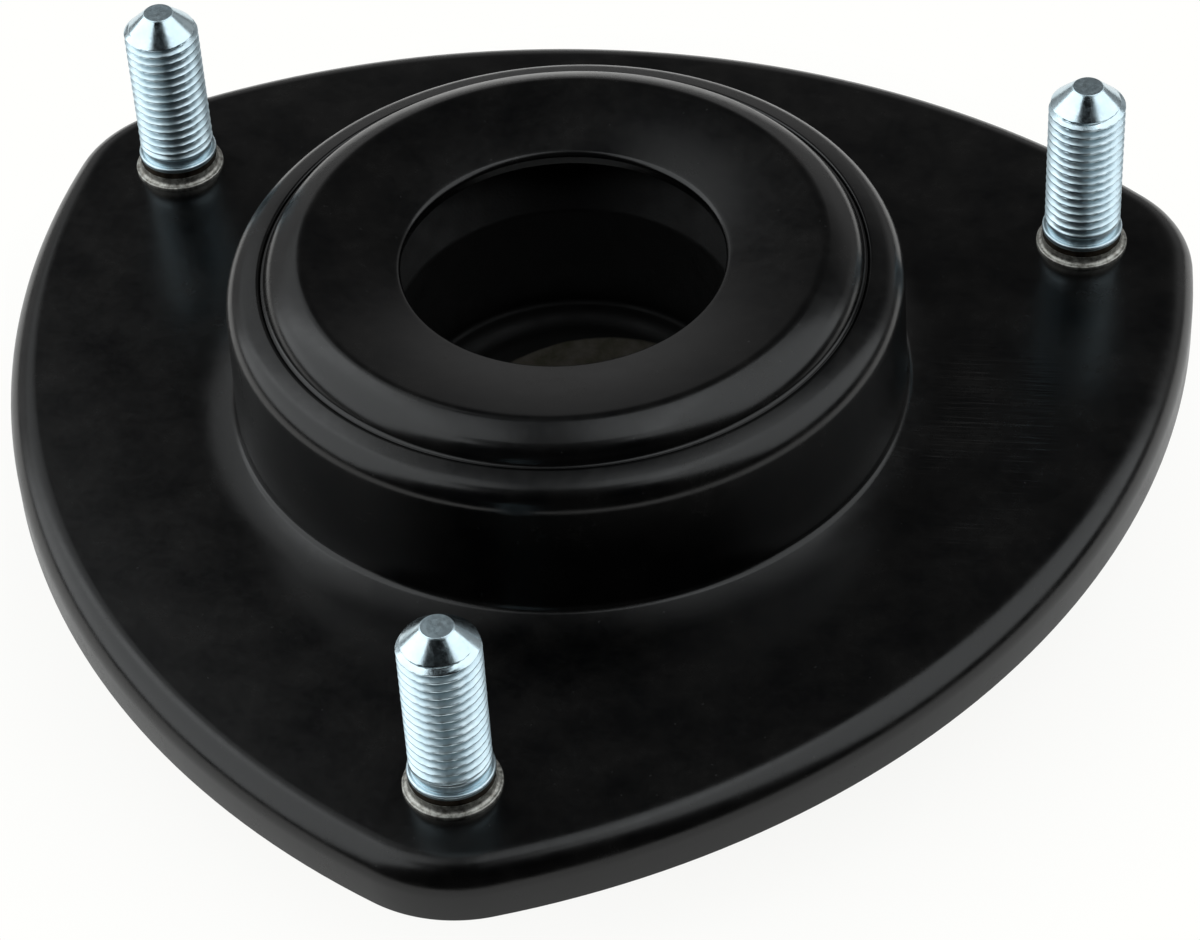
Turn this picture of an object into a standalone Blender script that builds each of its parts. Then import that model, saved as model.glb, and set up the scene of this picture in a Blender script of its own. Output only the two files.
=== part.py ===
"""Upper strut mount of a car's front suspension, with its ball bearing.

The origin lies on the strut's axis in the plate's top face, which seats under the body's strut tower.
+Z points up, as the studs do, and one stud stands towards -Y. Lengths are in metres, angles in degrees.
Every turned or pressed piece is drawn as a section in (distance from the axis, height) and spun about +Z.
"""

import math

import bmesh
import bpy
from mathutils import Matrix, Vector

# Gap between pieces that touch on the real part
FIT = 0.0003

# Mounting plate: a three-sided pressing with a turned-down rim, a drawn neck and a curled lip
SHEET = 0.0026
STUD_CIRCLE_R = 0.0706
STUD_ANGLES = (-90.0, 30.0, 150.0)
CORNER_MARGIN = 0.0143
CORNER_R = 0.0178
SIDE_R = 0.1149
RIM_DEPTH = 0.0077
RIM_INSIDE_R = 0.0020
SHEET_EDGE_R = 0.0004
NECK_R = 0.04265
NECK_DRAFT = 0.0004
NECK_HEIGHT = 0.0188
NECK_FILLET = 0.0015
FOOT_WIDTH = 0.0042
FOOT_RISE = 0.0008
FOOT_BLEND = 0.0320
LIP_WIDTH = 0.0040
LIP_SLOPE = 6.0
LIP_INSIDE_R = 0.0006
LIP_EDGE_R = 0.00025

# Studs: pressed in from below, with a pointed end, a thread relief and a collar
STUD_R = 0.0049
STUD_HEIGHT = 0.0255
STUD_TIP_R = 0.0019
STUD_POINT = 0.0029
RELIEF_DEPTH = 0.0003
RELIEF_HEIGHT = 0.0003
COLLAR_R = 0.0052
COLLAR_RISE = 0.0020
COLLAR_HEIGHT = 0.0007
COLLAR_EDGE_R = 0.0003
SHANK_R = 0.0050
HEAD_R = 0.0080
HEAD_HEIGHT = 0.0030
HEAD_EDGE_R = 0.0009
BOSS_WIDTH = 0.0006
BOSS_HEIGHT = 0.0004

# Dome cap: a pressed ring held under the lip. A ledge stands inside the lip, a short wall and a sloped
# shoulder climb to the crest, and the dish falls from it to the opening. Rises count from the neck's height,
# drops from the crest, and the knee's share is its place between the opening and the crest
CAP_SHEET = 0.0022
CAP_FLANGE_GAP = 0.0001
CAP_FOOT_INSIDE_R = 0.0004
LEDGE_WIDTH = 0.0007
LEDGE_RISE = 0.00045
LEDGE_EDGE_R = 0.00045
CAP_WALL_RISE = 0.00161
CAP_WALL_INSIDE_R = 0.0010
CROWN_WIDTH = 0.002783
CROWN_RISE = 0.003217
CROWN_INSIDE_R = 0.0108
CREST_WIDTH = 0.001826
CREST_RISE = 0.00381
CREST_INSIDE_R = 0.0001
DISH_KNEE_SHARE = 0.502352
DISH_KNEE_DROP = 0.00092
DISH_BEND = 0.0900
OPENING_R = 0.0201
OPENING_DROP = 0.00263
OPENING_EDGE_R = 0.0007

# Outer sleeve: the steel ring that the rubber is bonded into, with a flange under the plate
SLEEVE_WALL = 0.0016
SLEEVE_FLANGE_WIDTH = 0.0085

# Core: the steel seat in the rubber, with a flared mouth, a flange and a spigot for the bearing
CORE_BORE_R = 0.0216
CORE_WALL = 0.0024
CORE_SEAT_Z = -0.0060
CORE_FILLET = 0.0008
CORE_FLOOR = 0.0025
CORE_FLANGE = 0.0030
FLARE_Z = 0.0095
FLARE_WIDTH = 0.0040
FLARE_HEIGHT = 0.0051
SPIGOT_BORE_R = 0.0176
SPIGOT_WALL = 0.0022
SPIGOT_EDGE_R = 0.0027

# Isolator: the rubber between sleeve and core, with a groove above and a groove below
RUBBER_SKIN = 0.0013
RUBBER_TOP_DROP = 0.0012
GROOVE_TOP_DEPTH = 0.0062
GROOVE_BOTTOM_DEPTH = 0.0085
GROOVE_R = 0.0012

# Ball bearing under the core
BALL_R = 0.00278
BALL_COUNT = 18
RACE_ROOF = 0.0021
RACE_FLOOR = 0.0028
LAND_OFFSET = 0.0012
OUTER_LAND = 0.0007
SHOULDER_HEIGHT = 0.0019
SHOULDER_CATCH = 0.0014
SKIRT_WALL = 0.0016
CURL_THICKNESS = 0.0013
LOWER_BORE_R = 0.0172
RACE_EDGE_R = 0.0004
INNER_SEAL_WIDTH = 0.0010
OUTER_SEAL_WIDTH = 0.0012
CAGE_WEB = 0.0009
CAGE_THICKNESS = 0.0014
CAGE_FLOAT = 0.0013

# How finely round shapes are cut
ARC_STEP = math.radians(30.0)
FINE_R = 0.0013
CORNER_STEPS = 6
SIDE_STEPS = 10
VISIBLE_STEPS = 44
HIDDEN_STEPS = 32
STUD_STEPS = 16
POCKET_STEPS = 10
TINY = 1e-7
SIDE_SHARE = 0.95

# Places that follow from the sizes above
CORNER_DISTANCE = STUD_CIRCLE_R + CORNER_MARGIN - CORNER_R
SIDE_CENTRE = (math.sqrt(4 * (SIDE_R - CORNER_R) ** 2 - 3 * CORNER_DISTANCE**2) - CORNER_DISTANCE) / 2
SIDE_REACH = SIDE_R - SIDE_CENTRE
NECK_TOP_R = NECK_R - NECK_DRAFT
LIP_R = NECK_TOP_R - LIP_WIDTH
LIP_Z = NECK_HEIGHT + (NECK_TOP_R - LIP_R) * math.tan(math.radians(LIP_SLOPE))
HOLE_R = SHANK_R + FIT
STUD_HEAD_Z = -SHEET - FIT
COLLAR_Z = BOSS_HEIGHT + COLLAR_RISE
CAP_FLANGE_R = NECK_TOP_R - SHEET - FIT
CAP_FLANGE_Z = NECK_HEIGHT - SHEET - CAP_FLANGE_GAP
LEDGE_R = LIP_R - FIT
LEDGE_Z = NECK_HEIGHT + LEDGE_RISE
CAP_WALL_R = LEDGE_R - LEDGE_WIDTH
CAP_WALL_Z = NECK_HEIGHT + CAP_WALL_RISE
CROWN_R = CAP_WALL_R - CROWN_WIDTH
CROWN_Z = NECK_HEIGHT + CROWN_RISE
CREST_R = CROWN_R - CREST_WIDTH
CREST_Z = NECK_HEIGHT + CREST_RISE
DISH_KNEE_R = OPENING_R + (CREST_R - OPENING_R) * DISH_KNEE_SHARE
DISH_KNEE_Z = CREST_Z - DISH_KNEE_DROP
OPENING_Z = CREST_Z - OPENING_DROP
SLEEVE_R = NECK_TOP_R - SHEET - FIT
SLEEVE_INNER_R = SLEEVE_R - SLEEVE_WALL
SLEEVE_TOP_Z = CAP_FLANGE_Z - CAP_SHEET - FIT
SLEEVE_FLANGE_Z = -SHEET - FIT
SLEEVE_BEND_R = NECK_FILLET + SHEET + FIT
CORE_R = CORE_BORE_R + CORE_WALL
CORE_BASE_Z = CORE_SEAT_Z - CORE_FLOOR
SPIGOT_R = SPIGOT_BORE_R + SPIGOT_WALL
RACE_BORE_R = SPIGOT_R + FIT
RACE_TOP_Z = CORE_BASE_Z - FIT
GROOVE_BALL_R = BALL_R + FIT
BALL_Z = RACE_TOP_Z - RACE_ROOF - GROOVE_BALL_R
CAGE_INNER_R = RACE_BORE_R + INNER_SEAL_WIDTH + FIT
BALL_PITCH_R = CAGE_INNER_R + CAGE_WEB + GROOVE_BALL_R
GROOVE_HALF_WIDTH = math.sqrt(GROOVE_BALL_R**2 - LAND_OFFSET**2)
UPPER_LAND_Z = BALL_Z + LAND_OFFSET
LOWER_LAND_Z = BALL_Z - LAND_OFFSET
SHOULDER_R = BALL_PITCH_R + GROOVE_HALF_WIDTH + OUTER_LAND
SHOULDER_Z = LOWER_LAND_Z - SHOULDER_HEIGHT
SKIRT_INNER_R = SHOULDER_R + OUTER_SEAL_WIDTH + 2 * FIT
CAGE_OUTER_R = SKIRT_INNER_R - CAGE_FLOAT
SKIRT_R = SKIRT_INNER_R + SKIRT_WALL
CURL_INNER_R = SHOULDER_R - SHOULDER_CATCH + FIT
CURL_TOP_Z = SHOULDER_Z - FIT
BASE_Z = BALL_Z - GROOVE_BALL_R - RACE_FLOOR
CORE_FLANGE_Z = CORE_BASE_Z + CORE_FLANGE
SPIGOT_END_Z = LOWER_LAND_Z + 2 * FIT


def clear_scene():
    for item in list(bpy.data.objects):
        bpy.data.objects.remove(item, do_unlink=True)


def finish(name, colour, roughness, metallic):
    """A plain material for one kind of surface, made once and then shared."""
    material = bpy.data.materials.get(name)
    if material is None:
        material = bpy.data.materials.new(name)
        material.use_nodes = True
        shader = material.node_tree.nodes["Principled BSDF"]
        shader.inputs["Base Color"].default_value = (*colour, 1.0)
        shader.inputs["Roughness"].default_value = roughness
        shader.inputs["Metallic"].default_value = metallic
    return material


def black_coat():
    return finish("black_coat", (0.012, 0.012, 0.013), 0.33, 0.0)


def zinc_plate():
    return finish("zinc_plate", (0.62, 0.68, 0.72), 0.28, 1.0)


def bearing_steel():
    return finish("bearing_steel", (0.55, 0.55, 0.54), 0.25, 1.0)


def oiled_steel():
    return finish("oiled_steel", (0.30, 0.29, 0.27), 0.45, 1.0)


def black_rubber():
    return finish("black_rubber", (0.02, 0.02, 0.02), 0.75, 0.0)


def cage_plastic():
    return finish("cage_plastic", (0.55, 0.48, 0.33), 0.5, 0.0)


def left_of(direction):
    return Vector((-direction.y, direction.x))


def turn_between(arriving, leaving):
    """Signed angle from one direction to the next, positive to the left."""
    return math.atan2(arriving.cross(leaving), arriving.dot(leaving))


def fillet(here, arriving, turn, reach):
    """Points of the arc that rounds one corner and starts at the given distance before it."""
    if reach < TINY:
        return [here]
    radius = reach / math.tan(abs(turn) / 2)
    start = here - arriving * reach
    centre = start + left_of(arriving) * math.copysign(radius, turn)
    steps = max(1, round(abs(turn) / ARC_STEP)) if radius > FINE_R else 1
    return [centre + Matrix.Rotation(turn * step / steps, 2) @ (start - centre) for step in range(steps + 1)]


def rounded(corners):
    """Points of a closed outline from its corners, each (distance, height, radius)."""
    places = [Vector(corner[:2]) for corner in corners]
    sides = [after - here for here, after in zip(places, places[1:] + places[:1])]
    turns = [turn_between(sides[index - 1], side) for index, side in enumerate(sides)]
    reaches = [corner[2] * math.tan(abs(turn) / 2) for corner, turn in zip(corners, turns)]
    for index, side in enumerate(sides):
        following = (index + 1) % len(sides)
        wanted = reaches[index] + reaches[following]
        if wanted > SIDE_SHARE * side.length:
            reaches[index] *= SIDE_SHARE * side.length / wanted
            reaches[following] *= SIDE_SHARE * side.length / wanted
    points = []
    for index, here in enumerate(places):
        points += fillet(here, sides[index - 1].normalized(), turns[index], reaches[index])
    return points


def sheet_corners(path, thickness, start_edge, end_edge):
    """Closed corners of a bent sheet from its outer line, whose corners carry the inside bend radii.

    The metal lies to the left of the line. Each end's edge has a radius on the line and one across the sheet.
    """
    places = [Vector(corner[:2]) for corner in path]
    upper = []
    lower = []
    for index, here in enumerate(places):
        inside = path[index][2]
        if index == 0:
            offset = left_of((places[1] - here).normalized()) * thickness
            radii = start_edge
        elif index == len(places) - 1:
            offset = left_of((here - places[index - 1]).normalized()) * thickness
            radii = end_edge
        else:
            arriving = (here - places[index - 1]).normalized()
            leaving = (places[index + 1] - here).normalized()
            turn = turn_between(arriving, leaving)
            middle = (left_of(arriving) + left_of(leaving)).normalized()
            offset = middle * (thickness / math.cos(turn / 2))
            radii = (inside + thickness, inside) if turn > 0 else (inside, inside + thickness)
        upper.append((here.x, here.y, radii[0]))
        lower.append((here.x + offset.x, here.y + offset.y, radii[1]))
    return upper + lower[::-1]


def new_object(name, mesh_builder, material):
    """Object from a bmesh, with its faces pointing out and its round faces shaded smooth."""
    bmesh.ops.recalc_face_normals(mesh_builder, faces=mesh_builder.faces)
    mesh = bpy.data.meshes.new(name)
    mesh_builder.to_mesh(mesh)
    mesh_builder.free()
    mesh.materials.append(material)
    mesh.shade_smooth()
    mesh.set_sharp_from_angle(angle=math.radians(35.0))
    item = bpy.data.objects.new(name, mesh)
    bpy.context.scene.collection.objects.link(item)
    return item


def spin(mesh_builder, points, steps, closed):
    """Spins a section about the Z axis, into a ring or, where its ends lie on the axis, a solid."""
    chain = [mesh_builder.verts.new((point.x, 0.0, point.y)) for point in points]
    edges = [mesh_builder.edges.new(pair) for pair in zip(chain, chain[1:])]
    if closed:
        edges.append(mesh_builder.edges.new((chain[-1], chain[0])))
    bmesh.ops.spin(
        mesh_builder,
        geom=chain + edges,
        cent=(0.0, 0.0, 0.0),
        axis=(0.0, 0.0, 1.0),
        angle=math.tau,
        steps=steps,
        use_merge=True,
    )
    bmesh.ops.remove_doubles(mesh_builder, verts=mesh_builder.verts, dist=TINY)


def turned_ring(name, corners, steps, material, height=0.0):
    """A ring turned from a closed section, with its origin on the axis at the given height."""
    mesh_builder = bmesh.new()
    section = [point - Vector((0.0, height)) for point in rounded(corners)]
    spin(mesh_builder, section, steps, closed=True)
    item = new_object(name, mesh_builder, material)
    item.location.z = height
    return item


def hidden_former(name, mesh_builder):
    """A helper that only shapes another object."""
    former = new_object(name, mesh_builder, black_coat())
    former.hide_render = True
    former.display_type = "WIRE"
    return former


def shape_with(item, former, operation):
    modifier = item.modifiers.new(former.name, "BOOLEAN")
    modifier.operation = operation
    modifier.object = former


def add_cylinder(mesh_builder, centre, radius, low, high, steps):
    bmesh.ops.create_cone(
        mesh_builder,
        cap_ends=True,
        segments=steps,
        radius1=radius,
        radius2=radius,
        depth=high - low,
        matrix=Matrix.Translation((centre.x, centre.y, (low + high) / 2)),
    )


def on_circle(radius, degrees):
    angle = math.radians(degrees)
    return Vector((radius * math.cos(angle), radius * math.sin(angle)))


def plate_outline(inset):
    """Points of the plate's three-sided outline, moved inwards by the inset."""
    points = []
    for corner in STUD_ANGLES:
        centre = on_circle(CORNER_DISTANCE, corner)
        before = centre - on_circle(SIDE_CENTRE, corner + 120.0)
        after = centre - on_circle(SIDE_CENTRE, corner - 120.0)
        start = math.atan2(before.y, before.x)
        sweep = turn_between(before.normalized(), after.normalized())
        for step in range(CORNER_STEPS + 1):
            angle = math.degrees(start + sweep * step / CORNER_STEPS)
            points.append(centre + on_circle(CORNER_R - inset, angle))
        side_centre = on_circle(SIDE_CENTRE, corner - 120.0)
        next_corner = on_circle(CORNER_DISTANCE, corner + 120.0) - side_centre
        sweep = turn_between(after.normalized(), next_corner.normalized())
        start = math.atan2(after.y, after.x)
        for step in range(1, SIDE_STEPS):
            angle = math.degrees(start + sweep * step / SIDE_STEPS)
            points.append(side_centre + on_circle(SIDE_R - inset, angle))
    return points


def plate_section():
    """Section through the plate at the middle of a side, where the outline is nearest to the axis."""
    path = [
        (SIDE_REACH, -RIM_DEPTH, 0.0),
        (SIDE_REACH, 0.0, RIM_INSIDE_R),
        (NECK_R + FOOT_WIDTH, 0.0, FOOT_BLEND),
        (NECK_R, FOOT_RISE, NECK_FILLET),
        (NECK_TOP_R, NECK_HEIGHT, LIP_INSIDE_R),
        (LIP_R, LIP_Z, 0.0),
    ]
    corners = sheet_corners(path, SHEET, (0.0, 0.0), (LIP_EDGE_R, SHEET_EDGE_R))
    # The lip's end is cut upright
    corners[len(path)] = (LIP_R, *corners[len(path)][1:])
    return rounded(corners)


def mounting_plate():
    """The rim follows the three-sided outline, the neck is round, and the flat between them joins the two."""
    round_below = (SIDE_REACH + NECK_R + FOOT_WIDTH) / 2
    bearings = [point.normalized() for point in plate_outline(0.0)]
    mesh_builder = bmesh.new()
    loops = []
    for distance, height in plate_section():
        if distance > round_below:
            places = plate_outline(SIDE_REACH - distance)
        else:
            places = [bearing * distance for bearing in bearings]
        loops.append([mesh_builder.verts.new((place.x, place.y, height)) for place in places])
    count = len(bearings)
    for loop, following in zip(loops, loops[1:] + loops[:1]):
        for index in range(count):
            beyond = (index + 1) % count
            mesh_builder.faces.new((loop[index], loop[beyond], following[beyond], following[index]))
    plate = new_object("mounting_plate", mesh_builder, black_coat())
    shape_with(plate, stud_former("stud_boss_former", HOLE_R + BOSS_WIDTH, -SHEET / 2, BOSS_HEIGHT), "UNION")
    shape_with(plate, stud_former("stud_hole_former", HOLE_R, -2 * SHEET, 2 * SHEET), "DIFFERENCE")


def stud_former(name, radius, low, high):
    """A cylinder at each stud's place."""
    mesh_builder = bmesh.new()
    for angle in STUD_ANGLES:
        add_cylinder(mesh_builder, on_circle(STUD_CIRCLE_R, angle), radius, low, high, STUD_STEPS)
    return hidden_former(name, mesh_builder)


def stud_section():
    """Half section of a stud, from its point down to the underside of its head."""
    relief_r = STUD_R - RELIEF_DEPTH
    collar_top = COLLAR_Z + COLLAR_HEIGHT
    relief_top = collar_top + RELIEF_HEIGHT
    head_base = STUD_HEAD_Z - HEAD_HEIGHT
    corners = [
        (0.0, STUD_HEIGHT, 0.0),
        (STUD_TIP_R, STUD_HEIGHT, 0.0),
        (STUD_R, STUD_HEIGHT - STUD_POINT, 0.0),
        (STUD_R, relief_top + RELIEF_DEPTH, 0.0),
        (relief_r, relief_top, 0.0),
        (relief_r, collar_top, 0.0),
        (COLLAR_R, collar_top, COLLAR_EDGE_R),
        (COLLAR_R, COLLAR_Z, COLLAR_EDGE_R),
        (SHANK_R, COLLAR_Z, 0.0),
        (SHANK_R, STUD_HEAD_Z, 0.0),
        (HEAD_R, STUD_HEAD_Z, 0.0),
        (HEAD_R, head_base, HEAD_EDGE_R),
        (0.0, head_base, 0.0),
    ]
    return rounded(corners)


def studs():
    """Three equal studs that share one mesh."""
    mesh_builder = bmesh.new()
    spin(mesh_builder, stud_section(), STUD_STEPS, closed=False)
    first = new_object("stud_1", mesh_builder, zinc_plate())
    for number, angle in enumerate(STUD_ANGLES, start=1):
        stud = first if number == 1 else bpy.data.objects.new(f"stud_{number}", first.data)
        if number > 1:
            bpy.context.scene.collection.objects.link(stud)
        stud.location = on_circle(STUD_CIRCLE_R, angle).to_3d()
        stud.rotation_euler.z = math.radians(angle)


def dome_cap():
    """Flange under the lip, ledge, wall, shoulder, crest, and the dish in two slopes blended by a wide bend."""
    path = [
        (CAP_FLANGE_R, CAP_FLANGE_Z, 0.0),
        (CAP_WALL_R, CAP_FLANGE_Z, CAP_FOOT_INSIDE_R),
        (CAP_WALL_R, CAP_WALL_Z, CAP_WALL_INSIDE_R),
        (CROWN_R, CROWN_Z, CROWN_INSIDE_R),
        (CREST_R, CREST_Z, CREST_INSIDE_R),
        (DISH_KNEE_R, DISH_KNEE_Z, DISH_BEND),
        (OPENING_R, OPENING_Z, 0.0),
    ]
    flange_edge = (LIP_INSIDE_R, 0.0)
    opening_edge = (OPENING_EDGE_R, SHEET_EDGE_R)
    corners = sheet_corners(path, CAP_SHEET, flange_edge, opening_edge)
    ledge = [(LEDGE_R, CAP_FLANGE_Z, 0.0), (LEDGE_R, LEDGE_Z, LEDGE_EDGE_R), (CAP_WALL_R, LEDGE_Z, 0.0)]
    turned_ring("dome_cap", corners[:1] + ledge + corners[2:], VISIBLE_STEPS, black_coat())


def outer_sleeve():
    """Ring pressed into the neck from below, its flange seated under the plate round the neck's bend."""
    path = [
        (SLEEVE_R + SLEEVE_FLANGE_WIDTH, SLEEVE_FLANGE_Z, 0.0),
        (SLEEVE_R, SLEEVE_FLANGE_Z, SLEEVE_BEND_R),
        (SLEEVE_R, SLEEVE_TOP_Z, 0.0),
    ]
    corners = sheet_corners(path, SLEEVE_WALL, (0.0, 0.0), (0.0, 0.0))
    turned_ring("outer_sleeve", corners, HIDDEN_STEPS, oiled_steel())


def flare_offset(gap):
    """Two corners of the line that lies outside the core's flared mouth by the wall and a gap."""
    along = Vector((FLARE_WIDTH, FLARE_HEIGHT)).normalized()
    outward = -left_of(along)
    top = Vector((CORE_BORE_R + FLARE_WIDTH, FLARE_Z + FLARE_HEIGHT)) + outward * (CORE_WALL + gap)
    wall_r = CORE_R + gap
    knee = top - along * ((top.x - wall_r) / along.x)
    return top, knee


def core():
    """Seat for the strut rod's washer: flared mouth, wall, rounded seat, spigot and flange."""
    top, knee = flare_offset(0.0)
    corners = [
        (CORE_BORE_R + FLARE_WIDTH, FLARE_Z + FLARE_HEIGHT, SHEET_EDGE_R),
        (CORE_BORE_R, FLARE_Z, CORE_FILLET),
        (CORE_BORE_R, CORE_SEAT_Z, CORE_FILLET),
        (SPIGOT_BORE_R, CORE_SEAT_Z, SPIGOT_EDGE_R),
        (SPIGOT_BORE_R, SPIGOT_END_Z, SHEET_EDGE_R),
        (SPIGOT_R, SPIGOT_END_Z, 0.0),
        (SPIGOT_R, CORE_BASE_Z, 0.0),
        (SKIRT_R, CORE_BASE_Z, 0.0),
        (SKIRT_R, CORE_FLANGE_Z, SHEET_EDGE_R),
        (CORE_R, CORE_FLANGE_Z, CORE_FILLET),
        (knee.x, knee.y, 0.0),
        (top.x, top.y, SHEET_EDGE_R),
    ]
    turned_ring("core", corners, VISIBLE_STEPS, black_coat())


def isolator():
    """Rubber bonded between sleeve and core. It ends in thin skins beside its two grooves."""
    top, knee = flare_offset(FIT)
    outer_r = SLEEVE_INNER_R - FIT
    inner_r = CORE_R + FIT
    flange_z = CORE_FLANGE_Z + FIT
    lower_lip_z = SLEEVE_FLANGE_Z + SLEEVE_BEND_R
    upper_lip_z = SLEEVE_TOP_Z - RUBBER_TOP_DROP
    lip_inner_r = outer_r - RUBBER_SKIN
    groove_r = (SKIRT_R + lip_inner_r) / 2
    corners = [
        (inner_r, flange_z, CORE_FILLET),
        (SKIRT_R - RUBBER_SKIN, flange_z, 0.0),
        (groove_r - GROOVE_R, flange_z + GROOVE_BOTTOM_DEPTH, GROOVE_R),
        (groove_r + GROOVE_R, flange_z + GROOVE_BOTTOM_DEPTH, GROOVE_R),
        (lip_inner_r, lower_lip_z, 0.0),
        (outer_r, lower_lip_z, 0.0),
        (outer_r, upper_lip_z, 0.0),
        (lip_inner_r, upper_lip_z, 0.0),
        (lip_inner_r - GROOVE_R, upper_lip_z - GROOVE_TOP_DEPTH, GROOVE_R),
        (top.x, upper_lip_z - GROOVE_TOP_DEPTH, GROOVE_R),
        (top.x, top.y, 0.0),
        (knee.x, knee.y, 0.0),
    ]
    turned_ring("isolator", corners, HIDDEN_STEPS, black_rubber())


def groove_points(upper):
    """Points of a race's ball groove, from its outer edge to its inner edge."""
    half = math.atan2(LAND_OFFSET, GROOVE_HALF_WIDTH)
    sweep = math.pi - 2 * half
    steps = max(3, round(sweep / ARC_STEP))
    side = 1.0 if upper else -1.0
    return [
        (
            BALL_PITCH_R + GROOVE_BALL_R * math.cos(half + sweep * step / steps),
            BALL_Z + side * GROOVE_BALL_R * math.sin(half + sweep * step / steps),
            0.0,
        )
        for step in range(steps + 1)
    ]


def upper_race():
    """Fixed race, pressed round the spigot, with a skirt whose end is curled under the turning race."""
    curl_base = CURL_TOP_Z - CURL_THICKNESS
    corners = [
        (RACE_BORE_R, RACE_TOP_Z, 0.0),
        (RACE_BORE_R, UPPER_LAND_Z, 0.0),
        *reversed(groove_points(upper=True)),
        (SKIRT_INNER_R, UPPER_LAND_Z, 0.0),
        (SKIRT_INNER_R, CURL_TOP_Z, 0.0),
        (CURL_INNER_R, CURL_TOP_Z, 0.0),
        (CURL_INNER_R, curl_base, RACE_EDGE_R),
        (SKIRT_R, curl_base, CURL_THICKNESS),
        (SKIRT_R, RACE_TOP_Z, RACE_EDGE_R),
    ]
    turned_ring("upper_race", corners, HIDDEN_STEPS, bearing_steel(), BALL_Z)


def lower_race():
    """Turning race: it carries the balls above, and the spring seat bears on its flat underside."""
    body_r = SHOULDER_R - SHOULDER_CATCH
    corners = [
        (SHOULDER_R, LOWER_LAND_Z, 0.0),
        *groove_points(upper=False),
        (LOWER_BORE_R, LOWER_LAND_Z, 0.0),
        (LOWER_BORE_R, BASE_Z, RACE_EDGE_R),
        (body_r, BASE_Z, RACE_EDGE_R),
        (body_r, SHOULDER_Z, 0.0),
        (SHOULDER_R, SHOULDER_Z, 0.0),
    ]
    turned_ring("lower_race", corners, HIDDEN_STEPS, bearing_steel(), BALL_Z)


def seals():
    """Two rubber rings that close the ball space, each on the fixed side and running on the lower race."""
    top = UPPER_LAND_Z - FIT
    base = LOWER_LAND_Z + FIT
    inner_corners = [
        (RACE_BORE_R, top, 0.0),
        (RACE_BORE_R, base, 0.0),
        (RACE_BORE_R + INNER_SEAL_WIDTH, base, 0.0),
        (RACE_BORE_R + INNER_SEAL_WIDTH, top, 0.0),
    ]
    turned_ring("inner_seal", inner_corners, HIDDEN_STEPS, black_rubber())
    outer_top = LOWER_LAND_Z - FIT
    outer_base = CURL_TOP_Z + FIT
    outer_corners = [
        (SHOULDER_R + FIT, outer_top, 0.0),
        (SHOULDER_R + FIT, outer_base, 0.0),
        (SKIRT_INNER_R - FIT, outer_base, 0.0),
        (SKIRT_INNER_R - FIT, outer_top, 0.0),
    ]
    turned_ring("outer_seal", outer_corners, HIDDEN_STEPS, black_rubber())


def ball_cage():
    """Flat ring with a round pocket for each ball."""
    half = CAGE_THICKNESS / 2
    corners = [
        (CAGE_INNER_R, BALL_Z + half, 0.0),
        (CAGE_INNER_R, BALL_Z - half, 0.0),
        (CAGE_OUTER_R, BALL_Z - half, 0.0),
        (CAGE_OUTER_R, BALL_Z + half, 0.0),
    ]
    cage = turned_ring("ball_cage", corners, BALL_COUNT * 2, cage_plastic(), BALL_Z)
    mesh_builder = bmesh.new()
    for number in range(BALL_COUNT):
        place = on_circle(BALL_PITCH_R, 360.0 * number / BALL_COUNT)
        add_cylinder(mesh_builder, place, GROOVE_BALL_R, BALL_Z - CAGE_THICKNESS, BALL_Z + CAGE_THICKNESS, POCKET_STEPS)
    shape_with(cage, hidden_former("pocket_former", mesh_builder), "DIFFERENCE")


def balls():
    """Balls that share one mesh, carried by an empty on the bearing's axis."""
    axis = bpy.data.objects.new("ball_circle_axis", None)
    axis.location.z = BALL_Z
    bpy.context.scene.collection.objects.link(axis)
    mesh_builder = bmesh.new()
    bmesh.ops.create_icosphere(mesh_builder, subdivisions=2, radius=BALL_R)
    first = new_object("ball_01", mesh_builder, bearing_steel())
    for number in range(1, BALL_COUNT + 1):
        ball = first if number == 1 else bpy.data.objects.new(f"ball_{number:02d}", first.data)
        if number > 1:
            bpy.context.scene.collection.objects.link(ball)
        ball.parent = axis
        ball.location = on_circle(BALL_PITCH_R, 360.0 * (number - 1) / BALL_COUNT).to_3d()


def main():
    clear_scene()
    mounting_plate()
    studs()
    dome_cap()
    outer_sleeve()
    isolator()
    core()
    upper_race()
    lower_race()
    seals()
    ball_cage()
    balls()


main()
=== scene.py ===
"""Looks of the upper strut mount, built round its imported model. Lengths are in metres, angles in degrees."""

import math

import bmesh
import bpy
from mathutils import Matrix, Vector

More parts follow.
